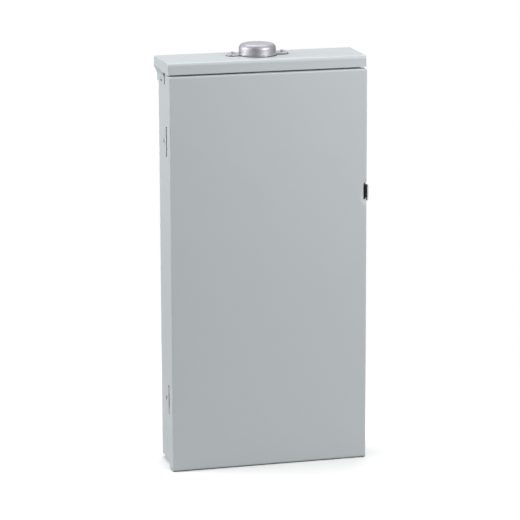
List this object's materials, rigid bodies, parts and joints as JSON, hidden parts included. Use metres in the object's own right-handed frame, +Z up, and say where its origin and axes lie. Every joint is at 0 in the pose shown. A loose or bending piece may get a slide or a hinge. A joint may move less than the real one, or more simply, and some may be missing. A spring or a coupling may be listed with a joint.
{
  "type": "residential load center",
  "caption": "Outdoor rainproof electrical load center: steel box with rain hood, hub closing plate, side-hung door with pull latch, dead front, bus bars, main and branch breakers.",
  "frame": {"origin": "centre of the four wall-screw holes, in the plane of the wall", "axes": "+Z up, the door faces -Y, +Y points into the wall, +X is to the right of someone facing the door"},
  "size_m": [0.3808, 0.121, 0.7937],
  "materials": {
    "gray_enamel": "satin baked enamel",
    "rubber_gasket": "matte",
    "cast_zinc": "satin die cast",
    "zinc_plated_steel": "bright zinc plate",
    "painted_rivet": "painted over with the box",
    "galvanised_pan": "galvanised",
    "label_paper": "plain",
    "latch_plastic": "satin moulded",
    "insulator_plastic": "moulded",
    "plated_bus": "tin plated",
    "bare_aluminium": "extruded",
    "green_screw": "green passivated",
    "breaker_plastic": "fine moulded texture",
    "handle_plastic": "smooth moulded"
  },
  "bodies": {
    "box": {"box_wrapper": "gray_enamel", "bottom_endwall": "gray_enamel", "top_header": "gray_enamel", "rain_hood": "gray_enamel", "side_knockouts": "gray_enamel", "bottom_knockouts": "gray_enamel", "back_knockouts": "gray_enamel", "hub_gasket": "rubber_gasket", "hub_plate": "cast_zinc", "hub_screws": "zinc_plated_steel", "ear_screws": "zinc_plated_steel", "hinge_brackets": "zinc_plated_steel", "hinge_rivets": "painted_rivet", "hinge_pins": "zinc_plated_steel", "interior_pan": "galvanised_pan", "pan_screws": "zinc_plated_steel", "bus_insulator": "insulator_plastic", "bus_bar_a": "plated_bus", "bus_bar_b": "plated_bus", "neutral_bar_left": "bare_aluminium", "neutral_bar_right": "bare_aluminium", "neutral_strap": "plated_bus", "neutral_standoffs": "insulator_plastic", "neutral_screws": "zinc_plated_steel", "neutral_lug": "bare_aluminium", "neutral_lug_screw": "zinc_plated_steel", "bonding_screw": "green_screw", "ground_bar": "bare_aluminium", "ground_bar_screws": "zinc_plated_steel", "main_case": "breaker_plastic", "main_lugs": "bare_aluminium", "main_lug_screws": "zinc_plated_steel", "dead_front": "gray_enamel", "dead_front_screws": "zinc_plated_steel", "filler_plates": "gray_enamel", "rating_label": "label_paper", "breaker_1_case": "breaker_plastic", "breaker_2_case": "breaker_plastic", "breaker_3_case": "breaker_plastic", "breaker_4_case": "breaker_plastic", "breaker_5_case": "breaker_plastic", "breaker_6_case": "breaker_plastic", "branch_terminal_screws": "zinc_plated_steel"},
    "door": {"door_panel": "gray_enamel", "door_hinge_leaves": "zinc_plated_steel", "directory_card": "label_paper", "latch_bracket": "zinc_plated_steel", "latch_pin": "zinc_plated_steel", "latch_spring": "zinc_plated_steel"},
    "latch": {"latch_lever": "latch_plastic"},
    "main_switch": {"main_handle": "handle_plastic"},
    "switch_1": {"breaker_1_handle": "handle_plastic"},
    "switch_2": {"breaker_2_handle": "handle_plastic"},
    "switch_3": {"breaker_3_handle": "handle_plastic"},
    "switch_4": {"breaker_4_handle": "handle_plastic"},
    "switch_5": {"breaker_5_handle": "handle_plastic"},
    "switch_6": {"breaker_6_handle": "handle_plastic"}
  },
  "joints": [
    {"name": "door_hinge", "type": "hinge", "parent": "box", "child": "door", "pos_m": [-0.185, -0.093, 0], "axis": [0, 0, -1], "range_deg": [0, 120]},
    {"name": "latch_pull", "type": "hinge", "parent": "door", "child": "latch", "pos_m": [0.176, -0.11, 0.1275], "axis": [0, 0, -1], "range_deg": [0, 12], "stiffness_Nm_per_rad": 0.05},
    {"name": "main_switch_throw", "type": "hinge", "parent": "box", "child": "main_switch", "pos_m": [0, -0.094, 0.1405], "axis": [1, 0, 0], "range_deg": [0, 30]},
    {"name": "switch_1_throw", "type": "hinge", "parent": "box", "child": "switch_1", "pos_m": [-0.0355, -0.093, 0.0386], "axis": [0, 0, -1], "range_deg": [0, 40]},
    {"name": "switch_2_throw", "type": "hinge", "parent": "box", "child": "switch_2", "pos_m": [-0.0355, -0.093, 0.0005], "axis": [0, 0, -1], "range_deg": [0, 40]},
    {"name": "switch_3_throw", "type": "hinge", "parent": "box", "child": "switch_3", "pos_m": [-0.0355, -0.093, -0.0249], "axis": [0, 0, -1], "range_deg": [0, 40]},
    {"name": "switch_4_throw", "type": "hinge", "parent": "box", "child": "switch_4", "pos_m": [0.0355, -0.093, 0.0386], "axis": [0, 0, 1], "range_deg": [0, 40]},
    {"name": "switch_5_throw", "type": "hinge", "parent": "box", "child": "switch_5", "pos_m": [0.0355, -0.093, 0.0005], "axis": [0, 0, 1], "range_deg": [0, 40]},
    {"name": "switch_6_throw", "type": "hinge", "parent": "box", "child": "switch_6", "pos_m": [0.0355, -0.093, -0.0249], "axis": [0, 0, 1], "range_deg": [0, 40]}
  ]
}
